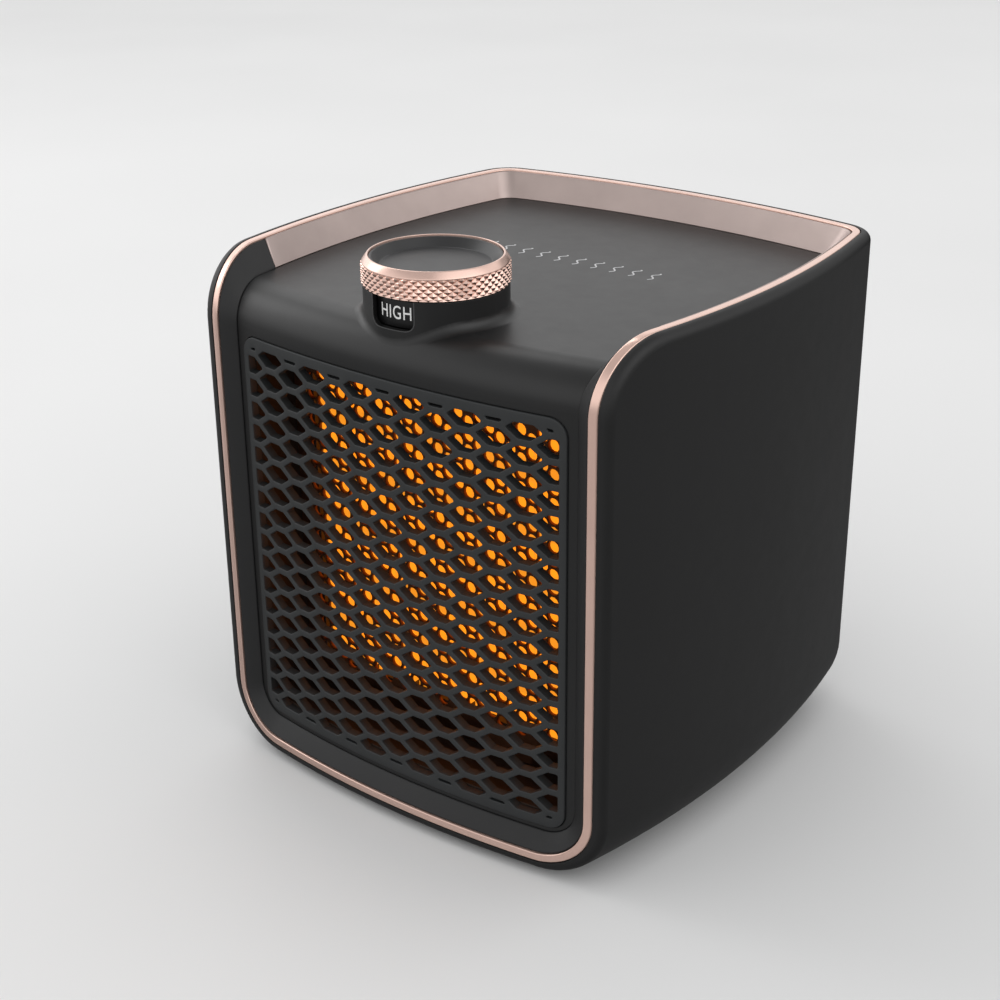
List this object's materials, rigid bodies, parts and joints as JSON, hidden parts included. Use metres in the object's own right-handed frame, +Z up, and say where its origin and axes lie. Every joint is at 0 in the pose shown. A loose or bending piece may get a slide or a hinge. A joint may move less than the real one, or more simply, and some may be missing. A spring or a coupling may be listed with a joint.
{
  "type": "ceramic space heater",
  "caption": "Cube-shaped desktop ceramic fan heater with a honeycomb front grille, a turning knob on top and a metal-trimmed rim.",
  "frame": {"origin": "middle of the base, on the surface the feet stand on", "axes": "+Z up, front grille faces -Y, +X to the viewer's right"},
  "size_m": [0.1612, 0.1578, 0.1702],
  "materials": {
    "shell": "fine matte charcoal moulding",
    "housing": "satin dark grey moulding",
    "grille": "matte dark grey moulding",
    "rose_gold": "polished rose gold plating",
    "rose_satin": "satin rose gold plating",
    "liner": "matte dark grey moulding",
    "guard": "heat-stained dark steel",
    "duct": "dark brown heat-resistant moulding",
    "ceramic": "hot ceramic",
    "fins": "corrugated foil",
    "metal": "plain steel",
    "brass": "plain brass",
    "drum": null,
    "cap": "satin dark grey",
    "black_plastic": "black moulding",
    "white_plastic": "natural white moulding",
    "magnet": "ferrite",
    "rubber": "soft black rubber"
  },
  "bodies": {
    "case": {"outer_shell": "shell", "trim_ring": "rose_gold", "rim_band": "rose_satin", "front_liner": "liner", "inner_housing": "housing", "front_grille": "grille", "inner_guard": "guard", "outlet_duct": "duct", "fan_shroud": "duct", "element_frame": "duct", "ptc_bars": "ceramic", "heater_fins": "fins", "element_terminals": "brass", "thermostat": "metal", "thermal_fuse": "white_plastic", "motor_bracket": "metal", "motor_case": "metal", "motor_end_cap": "black_plastic", "motor_bushes": "brass", "motor_magnets": "magnet", "motor_screws": "metal", "rotary_switch": "black_plastic", "switch_bracket": "metal", "switch_screws": "metal", "chassis_tray": "black_plastic", "chassis_screws": "metal", "housing_screws": "metal", "feet": "rubber", "rear_inlet_grille": "grille", "rear_screws": "metal", "cord_gland": "black_plastic", "terminal_block": "white_plastic", "terminal_screws": "brass", "tip_switch_case": "white_plastic", "tip_spring": "metal"},
    "knob": {"knob_ring": "rose_gold", "knob_cap": "cap", "label_drum": "drum", "switch_spindle": "white_plastic"},
    "fan": {"fan_blades": "black_plastic", "fan_clip": "metal", "motor_shaft": "metal", "motor_rotor": "metal"},
    "tip_button": {"tip_plunger": "black_plastic"}
  },
  "joints": [
    {"name": "knob_turn", "type": "hinge", "parent": "case", "child": "knob", "pos_m": [0, -0.051, 0.16], "axis": [0, 0, 1], "range_deg": [0, 120]},
    {"name": "fan_spin", "type": "hinge", "parent": "case", "child": "fan", "pos_m": [0, 0.013, 0.0775], "axis": [0, 1, 0], "continuous": true},
    {"name": "tip_press", "type": "slide", "parent": "case", "child": "tip_button", "axis": [0, 0, 1], "range_m": [-0.003, 0], "stiffness_N_per_m": 60, "springref_m": -0.005}
  ]
}
